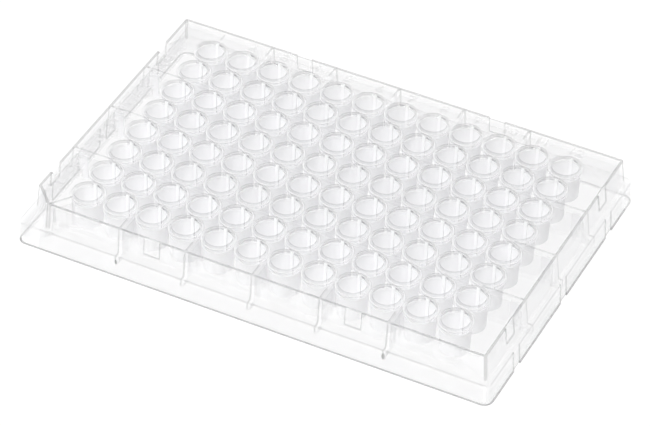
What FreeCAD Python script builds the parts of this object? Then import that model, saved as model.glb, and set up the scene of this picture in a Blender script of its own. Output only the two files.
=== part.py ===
import FreeCAD, Part

# A clear 96-well plate, moulded in one piece: a drafted skirt with a ledge, a narrower
# wall above it, a thin deck just under the wall's top edge, and 96 blind tubes that hang
# from the deck over an open underside.  Rims, wall and ribs all end in one top plane.
#
# Frame: millimetres, +Z up, the origin at the middle of the footprint on the plane that
# the plate stands on.  Column 1 is on the -X side and row A on the +Y side, so well A1
# is at the back left and the bevelled corner, beside well H1, at the front left.

import os
import Sketcher

NODE = "well_plate"

DIMENSIONS = {
    # Footprint and the two tiers of the side.
    "length": 127.76,
    "width": 85.48,
    "height": 13.0,
    "skirt_radius": 2.5,
    "skirt_draft": 0.35,
    "skirt_wall": 1.2,
    "ledge_height": 6.0,
    "ledge_width": 1.4,
    "ledge_round": 0.2,
    "upper_radius": 1.5,
    "upper_draft": 0.75,
    "upper_wall": 1.2,
    "rim_land": 0.7,
    "bevel": 5.5,
    # Deck, and the ribs and webs that stiffen it.
    "deck_drop": 0.5,
    "deck_wall": 1.1,
    "rib_wall": 0.6,
    "rib_clearance": 3.1,
    "web_wall": 0.7,
    "web_rise": 0.5,
    # Wells.
    "pitch": 9.0,
    "rim_radius": 4.0,
    "tube_foot_radius": 3.7,
    "tube_clearance": 4.3,
    "bore_radius": 3.43,
    "bore_floor_radius": 3.1,
    "floor_wall": 1.0,
    # Grip notches in the upper wall and slots in the skirt's two ends.
    "notch_pitch": 54.0,
    "notch_width": 4.3,
    "notch_height": 4.8,
    "notch_depth": 0.45,
    "slot_pitch": 27.0,
    "slot_width": 3.4,
    "slot_depth": 0.4,
}
COLUMNS = 12
ROWS = 8
COLUMNS_PER_BAY = 2
ROWS_PER_BAY = 2
SLOTS_PER_END = 3

doc = FreeCAD.newDocument("plate")
sheet = doc.addObject("Spreadsheet::Sheet", "sizes")
for line, (name, size) in enumerate(DIMENSIONS.items(), start=1):
    sheet.set(f"A{line}", name)
    sheet.set(f"B{line}", str(size))
    sheet.setAlias(f"B{line}", name)
doc.recompute()

body = doc.addObject("PartDesign::Body", NODE)
body.Label = NODE

# Sizes that follow from the sheet, as expressions that the features are bound to.  Each
# half is measured from the plate's middle to the outside of the side at one level.
HALF_X = "(sizes.length / 2)"
HALF_Y = "(sizes.width / 2)"
LEDGE_HALF_X = f"({HALF_X} - sizes.skirt_draft)"
LEDGE_HALF_Y = f"({HALF_Y} - sizes.skirt_draft)"
FOOT_HALF_X = f"({LEDGE_HALF_X} - sizes.ledge_width)"
FOOT_HALF_Y = f"({LEDGE_HALF_Y} - sizes.ledge_width)"
TOP_HALF_X = f"({FOOT_HALF_X} - sizes.upper_draft)"
TOP_HALF_Y = f"({FOOT_HALF_Y} - sizes.upper_draft)"
SKIRT_SLOPE = "(sizes.skirt_draft / sizes.ledge_height)"
UPPER_SLOPE = "(sizes.upper_draft / (sizes.height - sizes.ledge_height))"
LEDGE_UNDERSIDE = "(sizes.ledge_height - sizes.skirt_wall)"
LEDGE_MIDDLE = "(sizes.ledge_height - sizes.skirt_wall / 2)"
DECK_TOP = "(sizes.height - sizes.deck_drop)"
DECK_MIDDLE = f"({DECK_TOP} - sizes.deck_wall / 2)"
DECK_UNDERSIDE = f"({DECK_TOP} - sizes.deck_wall)"
BORE_FLOOR = "(sizes.tube_clearance + sizes.floor_wall)"
COLUMN_SPAN = f"(sizes.pitch * {COLUMNS - 1})"
ROW_SPAN = f"(sizes.pitch * {ROWS - 1})"
COLUMN_BAY = f"(sizes.pitch * {COLUMNS_PER_BAY})"
ROW_BAY = f"(sizes.pitch * {ROWS_PER_BAY})"
GUSSETS = COLUMNS // COLUMNS_PER_BAY - 1
CROSS_RIBS = ROWS // ROWS_PER_BAY - 1


def value(expression):
    """The plain number that an expression gives with the sheet's present sizes."""
    number = body.evalExpression(expression)
    return float(getattr(number, "Value", number))


def origin(role):
    """A plane or axis of the body's own origin."""
    return next(f for f in body.Origin.OriginFeatures if f.Role == role)


def place(feature, role, out="0", across="0"):
    """Attach a feature to an origin plane: out is along the plane's normal."""
    feature.AttachmentSupport = [(origin(role), "")]
    feature.MapMode = "FlatFace"
    feature.setExpression("AttachmentOffset.Base.x", across)
    feature.setExpression("AttachmentOffset.Base.z", out)


def level(name, height):
    """A level plane at a height, for sketches to lie on and drafts to turn about."""
    plane = body.newObject("PartDesign::Plane", name)
    place(plane, "XY_Plane", out=height)
    doc.recompute()
    return plane


def quarter_arc(start, end, radius):
    """The convex arc from start to end of an outline that runs anticlockwise."""
    chord = end - start
    inward = FreeCAD.Vector(-chord.y, chord.x, 0).normalize()
    rise = (radius**2 - (chord.Length / 2) ** 2) ** 0.5
    centre = (start + end) / 2 + inward * rise
    return Part.Arc(start, centre - inward * radius, end)


def draw(sketch, outline):
    """Draw a closed outline of (across, up, radius) corners fixed by expressions.

    A radius makes the stretch from its corner to the next one an arc; None leaves it
    straight.
    """
    corners = [FreeCAD.Vector(value(x), value(y), 0) for x, y, radius in outline]
    following = corners[1:] + corners[:1]
    for start, end, (x, y, radius) in zip(corners, following, outline):
        if radius is None:
            sketch.addGeometry(Part.LineSegment(start, end))
        else:
            sketch.addGeometry(quarter_arc(start, end, value(radius)))
    count = len(outline)
    for i, (x, y, radius) in enumerate(outline):
        sketch.addConstraint(Sketcher.Constraint("Coincident", i, 2, (i + 1) % count, 1))
        for kind, expression in (("DistanceX", x), ("DistanceY", y)):
            fixed = Sketcher.Constraint(kind, -1, 1, i, 1, value(expression))
            index = sketch.addConstraint(fixed)
            sketch.setExpression(f"Constraints[{index}]", expression)
        if radius is not None:
            index = sketch.addConstraint(Sketcher.Constraint("Radius", i, value(radius)))
            sketch.setExpression(f"Constraints[{index}]", radius)


def plan_sketch(name, plane, outline):
    """A sketch seen from above, on the ground plane or on a level."""
    sketch = body.newObject("Sketcher::SketchObject", name)
    sketch.AttachmentSupport = [(plane, "")]
    sketch.MapMode = "FlatFace"
    draw(sketch, outline)
    return sketch


def section_sketch(name, role, outline, out="0", across="0", turn=None):
    """A sketch on an upright plane, which a turn swings clockwise about its upright."""
    sketch = body.newObject("Sketcher::SketchObject", name)
    place(sketch, role, out=out, across=across)
    if turn:
        upright = FreeCAD.Rotation(FreeCAD.Vector(0, -1, 0), value(turn))
        sketch.AttachmentOffset = FreeCAD.Placement(FreeCAD.Vector(), upright)
        sketch.setExpression("AttachmentOffset.Rotation.Angle", turn)
    draw(sketch, [(x, z, None) for x, z in outline])
    return sketch


def extrude(kind, name, sketch, length, **settings):
    """A pad or a pocket, made with the document up to date so that others can use it."""
    feature = body.newObject(f"PartDesign::{kind}", name)
    feature.Profile = sketch
    feature.setExpression("Length", length)
    for key, setting in settings.items():
        setattr(feature, key, setting)
    sketch.Visibility = False
    doc.recompute()
    return feature


def revolve(kind, name, section):
    """Turn a section of well H1 about the well's axis, adding or cutting."""
    sketch = section_sketch(
        f"{name}_section", "XZ_Plane", section, out=f"{ROW_SPAN} / 2", across=f"-{COLUMN_SPAN} / 2"
    )
    feature = body.newObject(f"PartDesign::{kind}", name)
    feature.Profile = sketch
    feature.ReferenceAxis = (sketch, ["V_Axis"])
    feature.Angle = 360
    sketch.Visibility = False
    doc.recompute()
    return feature


def draft(name, base, low, high, plane, slope, hollow=False):
    """Lean in the upright faces that run from one height up to another, about a plane.

    The faces of a hollow look inwards, so that they lean the same way when reversed.
    """
    heights = (value(low), value(high))
    faces = []
    for index, face in enumerate(base.Shape.Faces, start=1):
        box = face.BoundBox
        if max(abs(box.ZMin - heights[0]), abs(box.ZMax - heights[1])) < 1e-6:
            faces.append(f"Face{index}")
    feature = body.newObject("PartDesign::Draft", name)
    feature.Base = (base, faces)
    feature.NeutralPlane = (plane, [""])
    feature.PullDirection = (origin("Z_Axis"), [""])
    feature.setExpression("Angle", f"atan({slope})")
    feature.Reversed = hollow
    doc.recompute()
    return feature


def repeat(name, originals, rows=(), mirror=None):
    """Repeat features in rows of (axis, span, count), then mirror them in a plane."""
    group = body.newObject("PartDesign::MultiTransform", name)
    group.Originals = originals
    steps = []
    for axis, span, count in rows:
        step = body.newObject("PartDesign::LinearPattern", f"{name}_{axis}")
        step.Direction = (origin(f"{axis}_Axis"), [""])
        step.setExpression("Length", span)
        step.Occurrences = count
        steps.append(step)
    if mirror:
        step = body.newObject("PartDesign::Mirrored", f"{name}_mirror")
        step.MirrorPlane = (origin(mirror), [""])
        steps.append(step)
    group.Transformations = steps
    body.Tip = group
    doc.recompute()
    return group


def rounded_plan(half_x, half_y, radius):
    """A rectangle seen from above with four round corners."""
    return [
        (f"{half_x} - {radius}", f"-{half_y}", radius),
        (half_x, f"-{half_y} + {radius}", None),
        (half_x, f"{half_y} - {radius}", radius),
        (f"{half_x} - {radius}", half_y, None),
        (f"-{half_x} + {radius}", half_y, radius),
        (f"-{half_x}", f"{half_y} - {radius}", None),
        (f"-{half_x}", f"-{half_y} + {radius}", radius),
        (f"-{half_x} + {radius}", f"-{half_y}", None),
    ]


def wall_plan(inset, radius=None):
    """The upper wall's bevelled outline, parallel to its top edge and inset from it."""
    half_x = f"({TOP_HALF_X} - {inset})"
    half_y = f"({TOP_HALF_Y} - {inset})"
    # A parallel outline's 45 degree bevel has legs that change by this share of the inset.
    bevel = f"(sizes.bevel - (2 - sqrt(2)) * {inset})"
    bevelled = [
        (f"-{half_x}", f"-{half_y} + {bevel}", None),
        (f"-{half_x} + {bevel}", f"-{half_y}", None),
    ]
    if radius is None:
        square = [(half_x, f"-{half_y}"), (half_x, half_y), (f"-{half_x}", half_y)]
        return bevelled + [(x, y, None) for x, y in square]
    return bevelled + rounded_plan(half_x, half_y, radius)[:6]


def rib_end(top_half, ledge_half, foot_half):
    """Where a rib ends inside the wall, the ledge and the skirt, from its top down."""
    return [
        (f"({top_half} - sizes.rim_land / 2)", "sizes.height"),
        (f"({foot_half} - sizes.upper_wall / 2)", LEDGE_MIDDLE),
        (f"({ledge_half} - sizes.skirt_wall / 2)", LEDGE_MIDDLE),
        (f"({ledge_half} - sizes.skirt_wall / 2)", "sizes.rib_clearance"),
    ]


def notch_section(top_half, ledge_half):
    """A shallow notch in the outside of the upper wall, as deep as it is all the way."""
    floor = f"({top_half} - sizes.notch_depth)"
    foot = "(sizes.height - sizes.notch_height)"
    return [
        (f"{floor} + {UPPER_SLOPE} * sizes.notch_height", foot),
        (ledge_half, foot),
        (ledge_half, "sizes.height"),
        (floor, "sizes.height"),
    ]


# The two tiers of the side, drafted from solid and rounded at the ledge's edge.
ground = origin("XY_Plane")
ledge_level = level("ledge_level", "sizes.ledge_height")
underside_level = level("underside_level", LEDGE_UNDERSIDE)
top_level = level("top_level", "sizes.height")

skirt_plan = rounded_plan(HALF_X, HALF_Y, "sizes.skirt_radius")
skirt = extrude(
    "Pad", "skirt", plan_sketch("skirt_plan", ground, skirt_plan), "sizes.ledge_height"
)
skirt = draft("skirt_draft", skirt, "0", "sizes.ledge_height", ground, SKIRT_SLOPE)
ledge_edges = [
    f"Edge{index}"
    for index, edge in enumerate(skirt.Shape.Edges, start=1)
    if abs(edge.BoundBox.ZMin - value("sizes.ledge_height")) < 1e-6
]
ledge_round = body.newObject("PartDesign::Fillet", "ledge_round")
ledge_round.Base = (skirt, ledge_edges)
ledge_round.setExpression("Radius", "sizes.ledge_round")
doc.recompute()

foot_plan = wall_plan("(-sizes.upper_draft)", "sizes.upper_radius")
upper = extrude(
    "Pad",
    "upper_wall",
    plan_sketch("foot_plan", ledge_level, foot_plan),
    "sizes.height - sizes.ledge_height",
)
upper = draft(
    "upper_draft", upper, "sizes.ledge_height", "sizes.height", ledge_level, UPPER_SLOPE
)

# The hollow over the deck, and the two hollows under it that leave the walls standing.
deck_plan = wall_plan("sizes.rim_land")
extrude(
    "Pocket", "deck_hollow", plan_sketch("deck_plan", top_level, deck_plan), "sizes.deck_drop"
)

inner_plan = rounded_plan(
    f"({HALF_X} - sizes.skirt_wall)",
    f"({HALF_Y} - sizes.skirt_wall)",
    "(sizes.skirt_radius - sizes.skirt_wall)",
)
hollow = extrude(
    "Pocket",
    "skirt_hollow",
    plan_sketch("inner_plan", ground, inner_plan),
    LEDGE_UNDERSIDE,
    Reversed=True,
)
draft("skirt_hollow_draft", hollow, "0", LEDGE_UNDERSIDE, ground, SKIRT_SLOPE, hollow=True)

wall_spread = f"{UPPER_SLOPE} * (sizes.height - {LEDGE_UNDERSIDE})"
under_plan = wall_plan(f"(sizes.upper_wall - {wall_spread})")
hollow = extrude(
    "Pocket",
    "deck_underside",
    plan_sketch("under_plan", underside_level, under_plan),
    f"{DECK_UNDERSIDE} - {LEDGE_UNDERSIDE}",
    Reversed=True,
)
draft(
    "deck_underside_draft",
    hollow,
    LEDGE_UNDERSIDE,
    DECK_UNDERSIDE,
    underside_level,
    UPPER_SLOPE,
    hollow=True,
)

# Shallow notches in the outside of the upper wall, near the quarters of every side.
long_notch = extrude(
    "Pocket",
    "long_side_notch",
    section_sketch(
        "long_side_notch_section",
        "YZ_Plane",
        notch_section(TOP_HALF_Y, LEDGE_HALF_Y),
        out="-sizes.notch_pitch / 2",
    ),
    "sizes.notch_width",
    Midplane=True,
)
repeat("long_side_notches", [long_notch], [("X", "sizes.notch_pitch", 2)], mirror="XZ_Plane")
end_notch = extrude(
    "Pocket",
    "end_notch",
    section_sketch(
        "end_notch_section",
        "XZ_Plane",
        notch_section(TOP_HALF_X, LEDGE_HALF_X),
        out="sizes.notch_pitch / 2",
    ),
    "sizes.notch_width",
    Midplane=True,
)
repeat("end_notches", [end_notch], [("Y", "sizes.notch_pitch", 2)], mirror="YZ_Plane")

# At the left end the rim over the deck is gone between the notches' sides.
gap_section = [
    (f"-{TOP_HALF_X}", DECK_TOP),
    (f"-{TOP_HALF_X} + sizes.rim_land", DECK_TOP),
    (f"-{TOP_HALF_X} + sizes.rim_land", "sizes.height"),
    (f"-{TOP_HALF_X}", "sizes.height"),
]
gap = extrude(
    "Pocket",
    "rim_gap",
    section_sketch("rim_gap_section", "XZ_Plane", gap_section, out="sizes.notch_pitch / 2"),
    "sizes.notch_width",
    Midplane=True,
)
repeat("rim_gaps", [gap], [("Y", "sizes.notch_pitch", 2)])

# Upright slots in the outside of the skirt's two ends.
slot_section = [
    (f"{HALF_X} - sizes.slot_depth", "0"),
    (f"{HALF_X} + sizes.slot_depth", "0"),
    (f"{HALF_X} + sizes.slot_depth", "sizes.ledge_height"),
    (f"{LEDGE_HALF_X} - sizes.slot_depth", "sizes.ledge_height"),
]
SLOT_SPAN = f"(sizes.slot_pitch * {SLOTS_PER_END - 1})"
slot = extrude(
    "Pocket",
    "slot",
    section_sketch("slot_section", "XZ_Plane", slot_section, out=f"{SLOT_SPAN} / 2"),
    "sizes.slot_width",
    Midplane=True,
)
repeat("slots", [slot], [("Y", SLOT_SPAN, SLOTS_PER_END)], mirror="YZ_Plane")

# Ribs right across the plate between every second pair of rows.
far_end = rib_end(TOP_HALF_X, LEDGE_HALF_X, FOOT_HALF_X)
cross_section = far_end[::-1] + [(f"-{x}", z) for x, z in far_end]
cross_rib = extrude(
    "Pad",
    "cross_rib",
    section_sketch(
        "cross_rib_section", "XZ_Plane", cross_section, out=f"{ROW_BAY} * {CROSS_RIBS - 1} / 2"
    ),
    "sizes.rib_wall",
    Midplane=True,
)
repeat("cross_ribs", [cross_rib], [("Y", f"{ROW_BAY} * {CROSS_RIBS - 1}", CROSS_RIBS)])

# Short ribs from the front and back walls to the first row of wells that they meet.
back_end = rib_end(TOP_HALF_Y, LEDGE_HALF_Y, FOOT_HALF_Y)
gusset_section = back_end[::-1] + [
    (f"{ROW_SPAN} / 2", "sizes.height"),
    (f"{ROW_SPAN} / 2", "sizes.rib_clearance"),
]
gusset = extrude(
    "Pad",
    "gusset",
    section_sketch(
        "gusset_section", "YZ_Plane", gusset_section, out=f"-{COLUMN_BAY} * {GUSSETS - 1} / 2"
    ),
    "sizes.rib_wall",
    Midplane=True,
)
repeat(
    "gussets",
    [gusset],
    [("X", f"{COLUMN_BAY} * {GUSSETS - 1}", GUSSETS)],
    mirror="XZ_Plane",
)

# One more rib runs from the wall of well H1's tube out to the near end of the bevel.
bevel_across = f"({TOP_HALF_X} - sizes.bevel - {COLUMN_SPAN} / 2)"
bevel_along = f"({TOP_HALF_Y} - {ROW_SPAN} / 2)"
bevel_turn = f"atan({bevel_across} / {bevel_along})"
corner_end = [(f"({y} - {ROW_SPAN} / 2) / cos({bevel_turn})", z) for y, z in back_end]
foot_wall = "((sizes.tube_foot_radius + sizes.bore_floor_radius) / 2)"
corner_section = corner_end[::-1] + [
    (foot_wall, "sizes.height"),
    (foot_wall, "sizes.rib_clearance"),
]
corner_sketch = section_sketch(
    "corner_rib_section",
    "XZ_Plane",
    corner_section,
    out=f"{ROW_SPAN} / 2",
    across=f"-{COLUMN_SPAN} / 2",
    turn=f"90 deg + {bevel_turn}",
)
extrude("Pad", "corner_rib", corner_sketch, "sizes.rib_wall", Midplane=True)

# Thin webs along each column that tie its tubes together under the deck.
web_foot = "(sizes.tube_clearance + sizes.web_rise)"
web_section = [
    (f"-{ROW_SPAN} / 2", web_foot),
    (f"{ROW_SPAN} / 2", web_foot),
    (f"{ROW_SPAN} / 2", DECK_MIDDLE),
    (f"-{ROW_SPAN} / 2", DECK_MIDDLE),
]
web = extrude(
    "Pad",
    "web",
    section_sketch("web_section", "YZ_Plane", web_section, out=f"-{COLUMN_SPAN} / 2"),
    "sizes.web_wall",
    Midplane=True,
)
repeat("webs", [web], [("X", COLUMN_SPAN, COLUMNS)])

# The tubes, which rise past the deck as rims, then the bores through whatever stands in them.
tube_section = [
    ("0", "sizes.tube_clearance"),
    ("sizes.tube_foot_radius", "sizes.tube_clearance"),
    ("sizes.rim_radius", "sizes.height"),
    ("0", "sizes.height"),
]
bore_section = [
    ("0", BORE_FLOOR),
    ("sizes.bore_floor_radius", BORE_FLOOR),
    ("sizes.bore_radius", "sizes.height"),
    ("0", "sizes.height"),
]
WELL_GRID = [("X", COLUMN_SPAN, COLUMNS), ("Y", ROW_SPAN, ROWS)]
tube = revolve("Revolution", "tube", tube_section)
repeat("tubes", [tube], WELL_GRID)
bore = revolve("Groove", "bore", bore_section)
repeat("bores", [bore], WELL_GRID)

# Nothing is written unless every feature was made and the plate is one sound solid.
doc.recompute()
for item in doc.Objects:
    if {"Invalid", "Error"} & set(item.State):
        raise RuntimeError(f"{item.Name} was not made")
plate = body.Shape
if plate.isNull() or not plate.isValid() or len(plate.Solids) != 1:
    raise RuntimeError("the plate is not one sound solid")
os.makedirs("parts", exist_ok=True)
plate.exportStep(f"parts/{NODE}.step")
print(f"{NODE}: {len(plate.Faces)} faces, {plate.Volume:.0f} cubic millimetres")
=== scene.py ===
import math

import bmesh
import bpy
from mathutils import Matrix, Vector


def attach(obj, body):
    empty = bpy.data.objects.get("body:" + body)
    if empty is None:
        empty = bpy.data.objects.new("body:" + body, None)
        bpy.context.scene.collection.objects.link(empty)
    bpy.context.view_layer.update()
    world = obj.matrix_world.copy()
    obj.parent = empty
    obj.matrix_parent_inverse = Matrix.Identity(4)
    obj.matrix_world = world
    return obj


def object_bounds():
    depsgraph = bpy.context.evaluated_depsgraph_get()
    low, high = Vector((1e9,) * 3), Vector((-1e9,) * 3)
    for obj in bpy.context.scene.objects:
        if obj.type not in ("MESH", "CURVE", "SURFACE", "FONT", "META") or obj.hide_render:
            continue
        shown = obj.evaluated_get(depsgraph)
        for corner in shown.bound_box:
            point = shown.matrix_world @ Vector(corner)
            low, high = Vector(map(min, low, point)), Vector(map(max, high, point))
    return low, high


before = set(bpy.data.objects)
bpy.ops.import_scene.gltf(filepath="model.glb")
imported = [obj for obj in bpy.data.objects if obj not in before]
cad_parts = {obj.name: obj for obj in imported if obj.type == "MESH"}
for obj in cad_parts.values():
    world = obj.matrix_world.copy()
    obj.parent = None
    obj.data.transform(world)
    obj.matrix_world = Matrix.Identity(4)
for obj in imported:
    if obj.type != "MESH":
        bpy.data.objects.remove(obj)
cad_low, cad_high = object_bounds()

MM = 0.001

# Where the photograph was taken from, in the plate's own frame.
IMAGE_WIDTH = 650
CAMERA_AT = Vector((299.012, -605.573, 581.613)) * MM
CAMERA_AZIMUTH = math.radians(26.333)
CAMERA_ELEVATION = math.radians(40.638)
CAMERA_ROLL = math.radians(0.886)
FOCAL_PIXELS = 3609.6
SENSOR_WIDTH = 36.0
CLIP_START = 0.01

# The plate's own sizes, in millimetres. Its footprint and its height come from the bounds of the
# parts in model.glb, and the others are those that the part was built to.
HALF_LENGTH, HALF_WIDTH, TOP = (round(reach / MM, 3) for reach in cad_high)
COLUMNS = 12
ROWS = 8
PITCH = 9.0
BAY = 2 * PITCH
SKIRT_RADIUS = 2.5
SKIRT_DRAFT = 0.35
SKIRT_WALL = 1.2
LEDGE = 6.0
LEDGE_WIDTH = 1.4
LEDGE_ROUND = 0.2
UPPER_RADIUS = 1.5
UPPER_DRAFT = 0.75
BEVEL = 5.5
DECK_DROP = 0.5
DECK_WALL = 1.1
RIM_RADIUS = 4.0
BORE_RADIUS = 3.43
WELL_FLOOR_RADIUS = 3.1
WELL_FLOOR_WALL = 1.0
TUBE_FOOT = 4.3
WEB_WALL = 0.7
WEB_RISE = 0.5
NOTCH_PITCH = 54.0
NOTCH_WIDTH = 4.3
NOTCH_HEIGHT = 4.8
SLOT_PITCH = 27.0
SLOT_WIDTH = 3.4

# Margins off a face: as good as on it, a hair off it, and clear of it.
FLAT = 0.02
HAIR = 0.05
CLEAR = 0.1

# Heights that part the plate's zones from each other.
DECK = TOP - DECK_DROP
WELL_FLOOR = TUBE_FOOT + WELL_FLOOR_WALL
LEDGE_REACH = 0.6
NEAR_TOP = TOP - FLAT
JUST_OVER_DECK = DECK + FLAT
RIM_BAND = DECK - CLEAR
WEB_SPOT_LOW = RIM_BAND - HAIR
UNDER_DECK = DECK - DECK_WALL - HAIR
LEDGE_HIGH = LEDGE + LEDGE_REACH
OVER_LEDGE = LEDGE + CLEAR
SKIRT_TOP = LEDGE + HAIR
LEDGE_LINE_LOW = LEDGE - LEDGE_ROUND
LEDGE_LOW = LEDGE - SKIRT_WALL - LEDGE_REACH
SEAT_LOW = WELL_FLOOR + 2 * CLEAR
BORE_LOW = WELL_FLOOR + FLAT
WEB_LOW = TUBE_FOOT + WEB_RISE - CLEAR
TUBE_LOW = TUBE_FOOT - 3 * CLEAR
FOOT = 0.03

# Distances from a well's axis.
BORE_FLOOR = WELL_FLOOR_RADIUS - HAIR
BORE = BORE_RADIUS + 0.07
TUBE_INSIDE = BORE + HAIR
RIM = RIM_RADIUS + HAIR
RIB_START = RIM_RADIUS + CLEAR
TUBE_OUTSIDE = RIM_RADIUS + 3 * CLEAR
CLEAR_OF_TUBE = TUBE_OUTSIDE + HAIR
COLLAR = RIM_RADIUS + 0.6
RIM_LINE = 0.14
WEB_SEAT = WEB_WALL / 2 + 0.03
WEB_HALF = WEB_WALL / 2 + HAIR
SEAT_EDGE = 0.5
SEAT_EDGE_REACH = 0.1
WEB_SPOT_LEFT = 0.8
WEB_SPOT_RIGHT = 1.8


def inset(outline, ends, sides):
    """An outline's halves along x and y, drawn in by so much at its ends and at its sides."""
    half_length, half_width = outline
    return half_length - ends, half_width - sides


# Distances from the plate's middle, along x and along y: the shell's outline at four levels,
# the field of wells and its outermost axes, and then what parts the zones.
FOOT_TO = (HALF_LENGTH, HALF_WIDTH)
LEDGE_TO = inset(FOOT_TO, SKIRT_DRAFT, SKIRT_DRAFT)
WALL_FOOT_TO = inset(LEDGE_TO, LEDGE_WIDTH, LEDGE_WIDTH)
WALL_TO = inset(WALL_FOOT_TO, UPPER_DRAFT, UPPER_DRAFT)
WELL_FIELD = (COLUMNS * PITCH / 2, ROWS * PITCH / 2)
LAST_WELL = inset(WELL_FIELD, PITCH / 2, PITCH / 2)
RIBS_OUTSIDE = inset(LAST_WELL, -0.5, -0.5)
AMONG_WELLS = (RIBS_OUTSIDE[0], WELL_FIELD[1])
LEDGE_LINE_FROM = inset(LEDGE_TO, 0.33, 0.39)
WALL_FACE = inset(WALL_TO, 0.38, 0.34)
DECK_TO = inset(WALL_TO, 0.68, 0.64)
INSIDE_WALL = inset(WALL_TO, 1.38, 1.24)
LEDGE_FROM = inset(WALL_TO, 2.48, 2.44)
FAR_FROM = inset(FOOT_TO, 5.88, 4.74)
INSIDE_BEVEL = BEVEL - sum(WALL_TO) + 1.92
NEAR_CORNER = 1.74 - HALF_WIDTH
SKIRT_END = HALF_LENGTH - 0.98
FOOT_STRIP = 0.5
GUSSETS_AT = (0, BAY, 2 * BAY)
RIBS_AT = (0, BAY)
RIB_REACH = 0.25
NOTCH_AT = NOTCH_PITCH / 2
NOTCH_SIDE = NOTCH_WIDTH / 2
NOTCH_HALF = NOTCH_SIDE + HAIR
NOTCH_FLOOR = TOP - NOTCH_HEIGHT
NOTCH_LOW = NOTCH_FLOOR - HAIR
SLOT_SIDE = SLOT_WIDTH / 2
SIDE_REACH = 0.03

# Each upright edge of the upper wall along which a dark line of painted shade is drawn: where its
# top is, how far it leans along x and y for each millimetre down, and how wide its line reaches.
# The bevel has two, and a third beside it along the front, and the other three are the rounded
# corners.
LEAN = UPPER_DRAFT / (TOP - LEDGE)
BEVEL_LEAN = 0.03
BESIDE_BEVEL = 0.8
WALL_END, WALL_SIDE = WALL_TO
CORNER_CUT = UPPER_RADIUS * (1 - math.sqrt(0.5))
ROUND_END, ROUND_SIDE = inset(WALL_TO, CORNER_CUT, CORNER_CUT)
WALL_EDGES = (
    (BEVEL - WALL_END, -WALL_SIDE, -BEVEL_LEAN, -LEAN, 0.35),
    (-WALL_END, BEVEL - WALL_SIDE, -LEAN, -BEVEL_LEAN, 0.35),
    (BEVEL - WALL_END + BESIDE_BEVEL, -WALL_SIDE, -BEVEL_LEAN, -LEAN, 0.3),
    (ROUND_END, -ROUND_SIDE, LEAN, -LEAN, 0.45),
    (ROUND_END, ROUND_SIDE, LEAN, LEAN, 0.45),
    (-ROUND_END, ROUND_SIDE, -LEAN, LEAN, 0.45),
)

# The plastic itself.
IOR = 1.49
DENSITY = 120.0
ABSORB = (0.85, 0.85, 0.86, 1)
ROUGH_LOW = 0.04
ROUGH_HIGH = 0.09
TUBE_ROUGH = 0.3
HAZE_SCALE = 35.0
HAZE_DETAIL = 3.0
RIPPLE = 0.005
RIPPLE_DEPTH = 0.0004
RIPPLE_SCALE = 90.0
RIPPLE_DETAIL = 2.0

# How much of its light passes straight through, in the near walls, the far walls and the grid.
CLEAR_SHARE = 0.8
FAR_SHARE = 0.93
GRID_SHARE = 1.0

# How much of its light it scatters, zone by zone.
MILK_COLOR = (0.9, 0.9, 0.905, 1)
MILK_THROUGH = 0.3
SHELL_MILK = 0.03
TUBE_MILK = 0.8
RIB_MILK = 0.5
OUTER_MILK = 0.1
WEB_MILK = 0.5
BORE_MILK = 0.04
SEAT_MILK = 0.85
NO_MILK = 0.0

# How much of its light it keeps, zone by zone. Past the plain tints of the deck, the grid, the
# tubes and the ribs, each value is painted shade: a dark line, band or spot where the moulded
# edges show one, or a contact shadow along the foot.
NO_TINT = 1.0
DECK_TINT = 0.985
GRID_TINT = 0.975
TUBE_TINT = 0.96
RIB_TINT = 0.93
OUTER_RIB = 0.99
# Painted shade: a dark line along the ribs' top faces.
RIB_LAND = 0.88
# Painted shade round the wells: the deck close round each rim and the rims' tops are darkened to
# paint the arcs and tube shading that the rims show, less so on each tube's front half.
COLLAR_SHADE = 0.91
RIM_SHADE = 0.86
RIM_FRONT = 0.95
# Painted shade: a dark line along the ledge's rounded outer edge.
LEDGE_LINE = 0.9
# Painted contact shadow: the outer strip of the face that the plate stands on is darkened, less
# so along the left end and the back.
FOOT_SHADOW = 0.5
FAR_FOOT_SHADOW = 0.75
# Painted shade: a dark line along the outer wall's top face.
LAND_SHADE = 0.7
# Painted shade: dark lines along each rim's inner edge and along the deck at its foot, and a
# darker band on the bore's wall over the deck, less so on the front half.
RIM_EDGE_SHADE = 0.86
FOOT_LINE = 0.72
BAND_SHADE = 0.82
BAND_FRONT = 0.92
# Painted shade: a dark spot in each bore's wall where its web comes in behind.
WEB_SPOT_SHADE = 0.65
# Painted shade: a fine dark line down the right side of each web's seat in the bore's wall.
SEAT_LINE = 0.93
# Painted shade: dark lines along the notches' and slots' sides and the upper wall's upright
# edges.
CREASE_SHADE = 0.78
# Painted shade: dark strips on the outer wall where a rib stands right behind it.
RIB_END_SHADE = 0.8

# How much light its shadow lets through, under the shell and under the tubes.
SHELL_SHADE = 0.985
TUBE_SHADE = 0.92

# The raised letters and numbers on the deck.
MARK_FOOT = (DECK + 0.01) * MM
MARK_HEIGHT = (DECK + 0.2) * MM
MARK_SPREAD = 0.08 * MM
MARK_FLAT = 0.01 * MM
MARK_SIDE_SHADE = 0.94
MARK_TOP = 0.985
MARK_VARIES = 0.015
MARK_SCALE = 400.0
MARK_DETAIL = 2.0
MARK_GLOSS = 0.06
MARK_ROUGH = 0.3
MARK_CURVE = 3
LETTER_X = -57.9
LETTER_SIZE = 6.9
FIRST_ROW = LAST_WELL[1]
NUMBER_Y = 37.75
NUMBER_SIZE = 3.5
NUMBER_STRETCH = 1.25
FIRST_COLUMN = -LAST_WELL[0]

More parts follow.
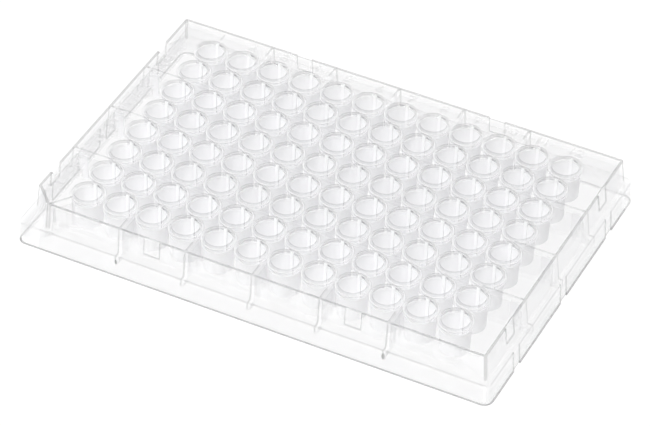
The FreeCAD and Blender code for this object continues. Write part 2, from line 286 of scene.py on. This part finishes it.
# The feed marks in the front skirt: where each is along x, and half its width and height.
GATES = ((-36.0, 0.3, 0.8), (36.0, 0.5, 1.0))
GATE_DEPTH = 0.15
GATE_Y = 0.54 - HALF_WIDTH
GATE_Z = 4.1
GATE_SCALE = 900.0
GATE_DETAIL = 3.0
GATE_DARK = 0.2
GATE_PALE = 0.7
GATE_ROUGH = 0.4

# The studio.
FLOOR_SIZE = 6.0
FLOOR_LEVEL = -0.02 * MM
FLOOR_DULL = 0.85
SHADOW_DEPTH = 0.2
LIFT = 0.81
WORLD_LEFT = 1.5
WORLD_RIGHT = 0.8
WORLD_TOP = 0.85
WORLD_TOP_AT = 0.9
LAMP = 5.0
LAMP_AT = (-0.3, -0.9, 0.75)
LAMP_SIZE = 0.6
BOUNCES = 32
DIFFUSE_BOUNCES = 8
BRIGHTEST_BOUNCE = 2.0


def nodes_of(owner):
    """Turn on nodes for a material or a world and hand back an empty tree."""
    owner.use_nodes = True
    owner.node_tree.nodes.clear()
    return owner.node_tree


def feed(tree, socket, source):
    """Link a socket to another, or set it to a plain value."""
    if isinstance(source, bpy.types.NodeSocket):
        tree.links.new(source, socket)
    else:
        socket.default_value = source


def add(tree, kind, **inputs):
    """Add a node with some of its inputs set or linked."""
    node = tree.nodes.new(kind)
    for name, source in inputs.items():
        feed(tree, node.inputs[name.replace("_", " ")], source)
    return node


def math_node(tree, operation, *terms):
    """Work out one number from sockets and plain numbers."""
    node = tree.nodes.new("ShaderNodeMath")
    node.operation = operation
    for socket, term in zip(node.inputs, terms):
        feed(tree, socket, term)
    return node.outputs["Value"]


def between(tree, value, low, high, start=0.0, end=1.0):
    """Low where the value is at its start, high where it is at its end, and held beyond."""
    node = add(
        tree,
        "ShaderNodeMapRange",
        Value=value,
        From_Min=start,
        From_Max=end,
        To_Min=low,
        To_Max=high,
    )
    return node.outputs["Result"]


def mixed(tree, share, first, second):
    """The first shader, giving way to the second as the share goes from nought to one."""
    node = tree.nodes.new("ShaderNodeMixShader")
    for socket, source in zip(node.inputs, (share, first, second)):
        feed(tree, socket, source)
    return node.outputs["Shader"]


def finish(tree, kind, shader):
    """Give the tree its output, with this shader as its surface."""
    output = tree.nodes.new(kind)
    tree.links.new(shader, output.inputs["Surface"])
    return output


def object_place(tree):
    """Where a point is on its own object."""
    return tree.nodes.new("ShaderNodeTexCoord").outputs["Object"]


def shown(tree):
    """One for rays that show the studio, directly or in and through the plastic."""
    path = tree.nodes.new("ShaderNodeLightPath")
    rays = ("Is Camera Ray", "Is Transmission Ray", "Is Glossy Ray")
    camera, through, mirrored = (path.outputs[name] for name in rays)
    most = math_node(tree, "MAXIMUM", camera, through)
    return math_node(tree, "MAXIMUM", most, mirrored)


class Zones:
    """Where on the plate a point is, as masks that are one inside a zone and else nought."""

    def __init__(self, tree, where):
        self.tree = tree
        split = add(tree, "ShaderNodeSeparateXYZ", Vector=where)
        self.x, self.y, self.z = (split.outputs[axis] for axis in ("X", "Y", "Z"))
        self.out_x = math_node(tree, "ABSOLUTE", self.x)
        self.out_y = math_node(tree, "ABSOLUTE", self.y)
        self.well_x, self.well_y = (self.from_axis(along) for along in (self.x, self.y))
        self.radius = self.length(self.well_x, self.well_y)

    def from_axis(self, along):
        """How far a point is from the nearest well's axis, along x or y."""
        step = math_node(self.tree, "FLOORED_MODULO", along, PITCH * MM)
        return math_node(self.tree, "SUBTRACT", step, PITCH * MM / 2)

    def length(self, across, along):
        """How long the level vector with these two parts is."""
        squares = [math_node(self.tree, "MULTIPLY", part, part) for part in (across, along)]
        return math_node(self.tree, "SQRT", math_node(self.tree, "ADD", *squares))

    def over(self, measure, limit):
        """One where a measure is over a limit in millimetres."""
        return math_node(self.tree, "GREATER_THAN", measure, limit * MM)

    def under(self, measure, limit):
        """One where a measure is under a limit in millimetres."""
        return math_node(self.tree, "LESS_THAN", measure, limit * MM)

    def near(self, measure, centre, reach):
        """One where a measure is within reach of a centre, both in millimetres."""
        return math_node(self.tree, "COMPARE", measure, centre * MM, reach * MM)

    def off(self, measure, centre):
        """How far a measure is from a centre, either way."""
        away = math_node(self.tree, "SUBTRACT", measure, centre * MM)
        return math_node(self.tree, "ABSOLUTE", away)

    def every(self, *masks):
        """One where all the masks are."""
        product = masks[0]
        for mask in masks[1:]:
            product = math_node(self.tree, "MULTIPLY", product, mask)
        return product

    def either(self, *masks):
        """One where any of the masks is."""
        most = masks[0]
        for mask in masks[1:]:
            most = math_node(self.tree, "MAXIMUM", most, mask)
        return most

    def within(self, halves):
        """Nearer to the middle than these, along x and along y."""
        return self.every(*map(self.under, (self.out_x, self.out_y), halves))

    def beyond(self, halves):
        """Farther from the middle than one of these, along x or along y."""
        return self.either(*map(self.over, (self.out_x, self.out_y), halves))

    def column(self, x, y, lean_x, lean_y, reach):
        """Within reach of an edge of the upper wall, given at its top and its lean."""
        fall = math_node(self.tree, "SUBTRACT", TOP * MM, self.z)
        across = math_node(self.tree, "MULTIPLY_ADD", fall, -lean_x, self.x)
        along = math_node(self.tree, "MULTIPLY_ADD", fall, -lean_y, self.y)
        far = self.length(
            math_node(self.tree, "SUBTRACT", across, x * MM),
            math_node(self.tree, "SUBTRACT", along, y * MM),
        )
        return self.every(self.under(far, reach), self.over(self.z, OVER_LEDGE))

    def grid(self):
        """The field of wells."""
        return self.within(WELL_FIELD)

    def among(self):
        """The rows of wells, from the first column's axes to the last one's."""
        return self.within(AMONG_WELLS)

    def inside(self):
        """All that the upper wall goes round."""
        over_bevel = math_node(self.tree, "ADD", self.x, self.y)
        return self.every(self.within(INSIDE_WALL), self.over(over_bevel, INSIDE_BEVEL))

    def far_walls(self):
        """The shell's left end and back."""
        left, back = FAR_FROM
        return self.either(self.under(self.x, -left), self.over(self.y, back))

    def deck(self):
        """The deck, with all that stands on it."""
        return self.every(self.over(self.z, UNDER_DECK), self.within(DECK_TO))

    def matt(self):
        """The tubes' outsides, and the ribs and webs under the deck."""
        hollow = self.every(self.under(self.z, UNDER_DECK), self.inside())
        rims = self.every(
            self.under(self.z, JUST_OVER_DECK), self.under(self.radius, TUBE_OUTSIDE), self.grid()
        )
        return self.every(
            self.either(hollow, rims),
            self.over(self.radius, TUBE_INSIDE),
            self.over(self.z, TUBE_LOW),
        )

    def ribs(self):
        """The ribs' and webs' sides under the deck, clear of the tubes."""
        return self.every(self.matt(), self.over(self.radius, CLEAR_OF_TUBE))

    def outer_ribs(self):
        """The ribs' sides between the wells and the outer wall."""
        return self.every(self.ribs(), self.beyond(RIBS_OUTSIDE))

    def rib_tops(self):
        """The cross ribs' parts that stand over the deck between the tubes."""
        return self.every(
            self.over(self.z, JUST_OVER_DECK), self.over(self.radius, RIB_START), self.among()
        )

    def rib_lands(self):
        """The top faces of the ribs."""
        return self.every(self.over(self.z, NEAR_TOP), self.inside())

    def rib_ends(self):
        """The strips of the outer wall that have a rib right behind them."""
        by_gusset = self.either(*(self.near(self.out_x, at, RIB_REACH) for at in GUSSETS_AT))
        by_rib = self.either(*(self.near(self.out_y, at, RIB_REACH) for at in RIBS_AT))
        end, side = WALL_FACE
        return self.every(
            self.over(self.z, TUBE_LOW),
            self.either(
                self.every(by_gusset, self.over(self.out_y, side)),
                self.every(by_rib, self.over(self.out_x, end)),
            ),
        )

    def web_sides(self):
        """The webs' side faces, between the tubes."""
        return self.every(
            self.under(self.z, UNDER_DECK),
            self.over(self.z, WEB_LOW),
            self.near(self.well_x, 0, WEB_HALF),
            self.over(self.radius, RIM_RADIUS),
            self.grid(),
        )

    def bores(self):
        """The bores' walls, without their floors."""
        return self.every(
            self.under(self.radius, BORE),
            self.over(self.radius, BORE_FLOOR),
            self.over(self.z, BORE_LOW),
            self.under(self.z, NEAR_TOP),
            self.grid(),
        )

    def web_seats(self):
        """The strip of each bore's wall that its web stands behind."""
        return self.every(
            self.bores(),
            self.over(self.z, SEAT_LOW),
            self.near(self.well_x, 0, WEB_SEAT),
            self.over(self.well_y, 0),
        )

    def seat_lines(self):
        """The line down the right side of each web's seat."""
        return self.every(
            self.bores(),
            self.near(self.well_x, SEAT_EDGE, SEAT_EDGE_REACH),
            self.over(self.well_y, 0),
        )

    def web_spots(self):
        """A dark spot of painted shade in each bore's wall, beside where its web comes in behind.
        """
        return self.every(
            self.bores(),
            self.over(self.z, WEB_SPOT_LOW),
            self.over(self.well_x, WEB_SPOT_LEFT),
            self.under(self.well_x, WEB_SPOT_RIGHT),
            self.over(self.well_y, 0),
        )

    def rim_bands(self):
        """The bores' walls as far down as the rims stand over the deck."""
        return self.every(self.bores(), self.over(self.z, RIM_BAND))

    def rim_lands(self):
        """The tops of the tubes' rims."""
        return self.every(
            self.over(self.z, NEAR_TOP), self.under(self.radius, RIM), self.grid()
        )

    def rim_lines(self):
        """A fine strip along each rim's inner edge."""
        return self.every(
            self.over(self.z, NEAR_TOP),
            self.under(self.radius, BORE_RADIUS + RIM_LINE),
            self.grid(),
        )

    def around_rims(self, reach):
        """The deck's top within reach of the wells' axes."""
        return self.every(
            self.near(self.z, DECK, FLAT), self.under(self.radius, reach), self.grid()
        )

    def collars(self):
        """The deck's top close around each rim."""
        return self.around_rims(COLLAR)

    def rim_feet(self):
        """A fine strip of the deck along each rim's foot."""
        return self.around_rims(RIM_RADIUS + RIM_LINE)

    def front_of(self, mask):
        """The part of a zone on the front half of each tube."""
        return self.every(mask, self.under(self.well_y, 0))

    def lands(self):
        """The outer wall's top face."""
        outside = math_node(self.tree, "SUBTRACT", 1.0, self.inside())
        return self.every(self.over(self.z, NEAR_TOP), outside)

    def ledge(self):
        """The ledge, where wall and skirt meet."""
        return self.every(
            self.under(self.z, LEDGE_HIGH), self.over(self.z, LEDGE_LOW), self.beyond(LEDGE_FROM)
        )

    def ledge_lines(self):
        """The rounded outer edge of the ledge."""
        return self.every(
            self.under(self.z, OVER_LEDGE),
            self.over(self.z, LEDGE_LINE_LOW),
            self.beyond(LEDGE_LINE_FROM),
        )

    def foot(self):
        """The outer strip of the face that the plate stands on."""
        past = [
            math_node(self.tree, "SUBTRACT", side, (half - SKIRT_RADIUS) * MM)
            for side, half in zip((self.out_x, self.out_y), FOOT_TO)
        ]
        straight = math_node(self.tree, "MAXIMUM", *past)
        corner = self.length(*(math_node(self.tree, "MAXIMUM", part, 0.0) for part in past))
        reach = math_node(self.tree, "MAXIMUM", corner, straight)
        return self.every(self.under(self.z, FOOT), self.over(reach, SKIRT_RADIUS - FOOT_STRIP))

    def far_foot(self):
        """The foot's strip along the left end and the back."""
        return self.every(self.foot(), self.far_walls(), self.over(self.y, NEAR_CORNER))

    def notches(self):
        """The sides and floors of the notches in the upper wall."""
        end, side = INSIDE_WALL
        faces = []
        for across, along, limit in (
            (self.out_y, self.out_x, side),
            (self.out_x, self.out_y, end),
        ):
            from_middle = self.off(along, NOTCH_AT)
            upright = self.near(from_middle, NOTCH_SIDE, SIDE_REACH)
            floor = self.every(
                self.near(self.z, NOTCH_FLOOR, SIDE_REACH), self.under(from_middle, NOTCH_HALF)
            )
            faces.append(self.every(self.over(across, limit), self.either(upright, floor)))
        return self.every(self.over(self.z, NOTCH_LOW), self.either(*faces))

    def slots(self):
        """The sides of the slots in the end skirts."""
        sides = (self.out_y, self.off(self.out_y, SLOT_PITCH))
        return self.every(
            self.over(self.out_x, SKIRT_END),
            self.under(self.z, SKIRT_TOP),
            self.either(*(self.near(side, SLOT_SIDE, SIDE_REACH) for side in sides)),
        )

    def creases(self):
        """The small faces at the notches' and slots' sides and the upper wall's corners, where
        dark lines of painted shade go.
        """
        edges = (self.column(*edge) for edge in WALL_EDGES)
        return self.either(self.notches(), self.slots(), *edges)


def tint_and_painted_shade(tree, zones):
    """How much light the plastic keeps: a plain tint, with painted shade along the lines that its
    moulded edges show and a painted contact shadow along its foot.
    """
    tint_and_shade = NO_TINT
    for zone, share in (
        (zones.deck(), DECK_TINT),
        (zones.every(zones.deck(), zones.inside()), GRID_TINT),
        (zones.matt(), TUBE_TINT),
        (zones.ribs(), RIB_TINT),
        (zones.outer_ribs(), OUTER_RIB),
        (zones.rib_lands(), RIB_LAND),
        (zones.rib_tops(), NO_TINT),
        (zones.collars(), COLLAR_SHADE),
        (zones.rim_lands(), RIM_SHADE),
        (zones.front_of(zones.rim_lands()), RIM_FRONT),
        (zones.ledge_lines(), LEDGE_LINE),
        (zones.foot(), FOOT_SHADOW),
        (zones.far_foot(), FAR_FOOT_SHADOW),
        (zones.lands(), LAND_SHADE),
        (zones.rim_lines(), RIM_EDGE_SHADE),
        (zones.rim_feet(), FOOT_LINE),
        (zones.rim_bands(), BAND_SHADE),
        (zones.front_of(zones.rim_bands()), BAND_FRONT),
        (zones.web_spots(), WEB_SPOT_SHADE),
        (zones.seat_lines(), SEAT_LINE),
        (zones.creases(), CREASE_SHADE),
        (zones.rib_ends(), RIB_END_SHADE),
    ):
        tint_and_shade = between(tree, zone, tint_and_shade, share)
    return tint_and_shade


def milkiness(tree, zones):
    """The share of light that the plastic scatters."""
    milk = SHELL_MILK
    for zone, share in (
        (zones.matt(), TUBE_MILK),
        (zones.ribs(), RIB_MILK),
        (zones.outer_ribs(), OUTER_MILK),
        (zones.web_sides(), WEB_MILK),
        (zones.bores(), BORE_MILK),
        (zones.web_seats(), SEAT_MILK),
        (zones.ledge(), NO_MILK),
        (zones.rib_tops(), NO_MILK),
    ):
        milk = between(tree, zone, milk, share)
    return milk


def clear_plastic():
    """Clear moulded plastic, polished in the shell and finely matt on the tubes."""
    material = bpy.data.materials.new("clear_plastic")
    tree = nodes_of(material)
    where = object_place(tree)
    zones = Zones(tree, where)
    ripple = add(
        tree, "ShaderNodeTexNoise", Vector=where, Scale=RIPPLE_SCALE, Detail=RIPPLE_DETAIL
    )
    bump = add(
        tree,
        "ShaderNodeBump",
        Height=ripple.outputs["Fac"],
        Strength=RIPPLE,
        Distance=RIPPLE_DEPTH,
    )
    haze = add(tree, "ShaderNodeTexNoise", Vector=where, Scale=HAZE_SCALE, Detail=HAZE_DETAIL)
    polish = between(tree, haze.outputs["Fac"], ROUGH_LOW, ROUGH_HIGH)
    # The tint carries painted shade: dark lines along the edges, rims, ledge and creases, and a
    # contact shadow along the foot.
    tint_and_shade = tint_and_painted_shade(tree, zones)
    glass = add(
        tree,
        "ShaderNodeBsdfPrincipled",
        Base_Color=tint_and_shade,
        Roughness=between(tree, zones.matt(), polish, TUBE_ROUGH),
        Normal=bump.outputs["Normal"],
        IOR=IOR,
        Transmission_Weight=1.0,
    )
    straight = add(tree, "ShaderNodeBsdfTransparent", Color=tint_and_shade)
    walls = between(tree, zones.far_walls(), CLEAR_SHARE, FAR_SHARE)
    straightness = between(tree, zones.inside(), walls, GRID_SHARE)
    clear = mixed(tree, straightness, glass.outputs["BSDF"], straight.outputs["BSDF"])
    scatter = add(tree, "ShaderNodeBsdfDiffuse", Color=MILK_COLOR)
    glow = add(tree, "ShaderNodeBsdfTranslucent", Color=MILK_COLOR)
    milk = mixed(tree, MILK_THROUGH, scatter.outputs["BSDF"], glow.outputs["BSDF"])
    body = mixed(tree, milkiness(tree, zones), clear, milk)
    shade = add(
        tree,
        "ShaderNodeBsdfTransparent",
        Color=between(tree, zones.matt(), SHELL_SHADE, TUBE_SHADE),
    )
    path = tree.nodes.new("ShaderNodeLightPath")
    surface = mixed(tree, path.outputs["Is Shadow Ray"], body, shade.outputs["BSDF"])
    absorb = add(tree, "ShaderNodeVolumeAbsorption", Color=ABSORB, Density=DENSITY)
    output = finish(tree, "ShaderNodeOutputMaterial", surface)
    tree.links.new(absorb.outputs["Volume"], output.inputs["Volume"])
    return material


def mark_plastic():
    """The same plastic on raised marks, with painted shade on their upright sides so that they
    read as fine outlines.
    """
    material = bpy.data.materials.new("mark_plastic")
    tree = nodes_of(material)
    where = object_place(tree)
    split = add(tree, "ShaderNodeSeparateXYZ", Vector=where)
    from_middle = math_node(tree, "SUBTRACT", split.outputs["Z"], (MARK_HEIGHT + MARK_FOOT) / 2)
    from_middle = math_node(tree, "ABSOLUTE", from_middle)
    flat = math_node(tree, "GREATER_THAN", from_middle, (MARK_HEIGHT - MARK_FOOT) / 2 - MARK_FLAT)
    haze = add(tree, "ShaderNodeTexNoise", Vector=where, Scale=MARK_SCALE, Detail=MARK_DETAIL)
    top = between(tree, haze.outputs["Fac"], MARK_TOP - MARK_VARIES, MARK_TOP + MARK_VARIES)
    tint_and_shade = between(tree, flat, MARK_SIDE_SHADE, top)
    straight = add(tree, "ShaderNodeBsdfTransparent", Color=tint_and_shade)
    sheen = add(tree, "ShaderNodeBsdfPrincipled", Roughness=MARK_ROUGH)
    surface = mixed(tree, MARK_GLOSS, straight.outputs["BSDF"], sheen.outputs["BSDF"])
    finish(tree, "ShaderNodeOutputMaterial", surface)
    return material


def gate_material():
    """Cloudy plastic where the moulding was fed."""
    material = bpy.data.materials.new("gate_mark")
    tree = nodes_of(material)
    where = object_place(tree)
    cloud = add(tree, "ShaderNodeTexNoise", Vector=where, Scale=GATE_SCALE, Detail=GATE_DETAIL)
    shade = between(tree, cloud.outputs["Fac"], GATE_DARK, GATE_PALE)
    cloudy = add(tree, "ShaderNodeBsdfPrincipled", Base_Color=shade, Roughness=GATE_ROUGH)
    finish(tree, "ShaderNodeOutputMaterial", cloudy.outputs["BSDF"])
    return material


def make_piece(name, shape, material):
    """Turn a finished shape into a piece of the plate."""
    mesh = bpy.data.meshes.new(name)
    shape.to_mesh(mesh)
    shape.free()
    piece = bpy.data.objects.new(name, mesh)
    piece.data.materials.append(material)
    bpy.context.scene.collection.objects.link(piece)
    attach(piece, "root")


def make_marks(name, texts, size, stretch, material):
    """One piece of raised characters, each given with the middle of its place."""
    shape = bmesh.new()
    for text, x, y in texts:
        curve = bpy.data.curves.new(name, "FONT")
        curve.body = text
        curve.size = size * MM
        curve.align_x = "CENTER"
        curve.align_y = "CENTER"
        curve.resolution_u = MARK_CURVE
        curve.offset = MARK_SPREAD
        curve.extrude = (MARK_HEIGHT - MARK_FOOT) / 2
        holder = bpy.data.objects.new(name, curve)
        mesh = bpy.data.meshes.new_from_object(holder)
        mesh.transform(Matrix.Diagonal((stretch, 1, 1, 1)))
        mesh.transform(Matrix.Translation((x * MM, y * MM, (MARK_HEIGHT + MARK_FOOT) / 2)))
        shape.from_mesh(mesh)
        bpy.data.meshes.remove(mesh)
        bpy.data.objects.remove(holder)
        bpy.data.curves.remove(curve)
    make_piece(name, shape, material)


def make_gates():
    """The two feed marks in the front skirt, the right one the larger."""
    shape = bmesh.new()
    for x, half_width, half_height in GATES:
        scale = Matrix.Diagonal((half_width * MM, GATE_DEPTH * MM, half_height * MM, 1))
        place = Matrix.Translation((x * MM, GATE_Y * MM, GATE_Z * MM)) @ scale
        bmesh.ops.create_icosphere(shape, subdivisions=2, radius=1, matrix=place)
    make_piece("gate_marks", shape, gate_material())


def floor_material():
    """White card that looks white, and keeps its shadow, directly and through the plastic."""
    material = bpy.data.materials.new("white_floor")
    tree = nodes_of(material)
    card = add(tree, "ShaderNodeBsdfDiffuse", Color=(FLOOR_DULL, FLOOR_DULL, FLOOR_DULL, 1))
    lift = add(tree, "ShaderNodeEmission", Strength=LIFT)
    dim = add(tree, "ShaderNodeBsdfDiffuse", Color=(SHADOW_DEPTH, SHADOW_DEPTH, SHADOW_DEPTH, 1))
    lit = tree.nodes.new("ShaderNodeAddShader")
    tree.links.new(dim.outputs["BSDF"], lit.inputs[0])
    tree.links.new(lift.outputs["Emission"], lit.inputs[1])
    surface = mixed(tree, shown(tree), card.outputs["BSDF"], lit.outputs["Shader"])
    finish(tree, "ShaderNodeOutputMaterial", surface)
    return material


def make_floor():
    """A wide floor a hair under the plate."""
    mesh = bpy.data.meshes.new("floor")
    signs = ((-1, -1), (1, -1), (1, 1), (-1, 1))
    mesh.from_pydata([(FLOOR_SIZE * x, FLOOR_SIZE * y, 0) for x, y in signs], [], [(0, 1, 2, 3)])
    floor = bpy.data.objects.new("floor", mesh)
    floor.location.z = FLOOR_LEVEL
    floor.data.materials.append(floor_material())
    bpy.context.scene.collection.objects.link(floor)


def make_world():
    """A white studio, dimmer overhead and to the right; the plastic shows it as white."""
    world = bpy.data.worlds.new("studio")
    bpy.context.scene.world = world
    tree = nodes_of(world)
    where = tree.nodes.new("ShaderNodeTexCoord").outputs["Generated"]
    split = add(tree, "ShaderNodeSeparateXYZ", Vector=where)
    across = between(tree, split.outputs["X"], WORLD_LEFT, WORLD_RIGHT, start=-1.0)
    upward = between(tree, split.outputs["Z"], 1.0, WORLD_TOP, end=WORLD_TOP_AT)
    lit = math_node(tree, "MULTIPLY", across, upward)
    sky = add(
        tree,
        "ShaderNodeBackground",
        Color=(1, 1, 1, 1),
        Strength=between(tree, shown(tree), lit, upward),
    )
    finish(tree, "ShaderNodeOutputWorld", sky.outputs["Background"])


def make_lamp():
    """A soft square lamp that looks at the plate."""
    lamp = bpy.data.lights.new("key", "AREA")
    lamp.size = LAMP_SIZE
    lamp.energy = LAMP
    holder = bpy.data.objects.new("key", lamp)
    holder.location = LAMP_AT
    holder.rotation_euler = (-Vector(LAMP_AT)).to_track_quat("-Z", "Y").to_euler()
    bpy.context.scene.collection.objects.link(holder)


def make_camera():
    """The photograph's camera, which looks past the plate's middle as the photograph does."""
    back = Vector((
        math.sin(CAMERA_AZIMUTH) * math.cos(CAMERA_ELEVATION),
        -math.cos(CAMERA_AZIMUTH) * math.cos(CAMERA_ELEVATION),
        math.sin(CAMERA_ELEVATION),
    ))
    right = (-back).cross(Vector((0, 0, 1))).normalized()
    up = right.cross(-back)
    turn = Matrix((right, up, back)).transposed() @ Matrix.Rotation(CAMERA_ROLL, 3, "Z")
    lens = bpy.data.cameras.new("camera")
    lens.sensor_width = SENSOR_WIDTH
    lens.lens = SENSOR_WIDTH * FOCAL_PIXELS / IMAGE_WIDTH
    lens.clip_start = CLIP_START
    camera = bpy.data.objects.new("camera", lens)
    camera.matrix_world = Matrix.Translation(CAMERA_AT) @ turn.to_4x4()
    bpy.context.scene.collection.objects.link(camera)
    bpy.context.scene.camera = camera


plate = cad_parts["well_plate"]
plate.data.materials.clear()
plate.data.materials.append(clear_plastic())

raised = mark_plastic()
rows = [(letter, LETTER_X, FIRST_ROW - PITCH * row) for row, letter in enumerate("ABCDEFGH")]
columns = [
    (str(column + 1), PITCH * column + FIRST_COLUMN, NUMBER_Y) for column in range(COLUMNS)
]
make_marks("row_letters", rows, LETTER_SIZE, 1.0, raised)
make_marks("column_numbers", columns, NUMBER_SIZE, NUMBER_STRETCH, raised)
make_gates()
make_floor()
make_world()
make_lamp()
make_camera()

scene = bpy.context.scene
scene.view_settings.view_transform = "Standard"
scene.cycles.max_bounces = BOUNCES
scene.cycles.glossy_bounces = BOUNCES
scene.cycles.transmission_bounces = BOUNCES
scene.cycles.transparent_max_bounces = BOUNCES
scene.cycles.diffuse_bounces = DIFFUSE_BOUNCES
scene.cycles.sample_clamp_indirect = BRIGHTEST_BOUNCE
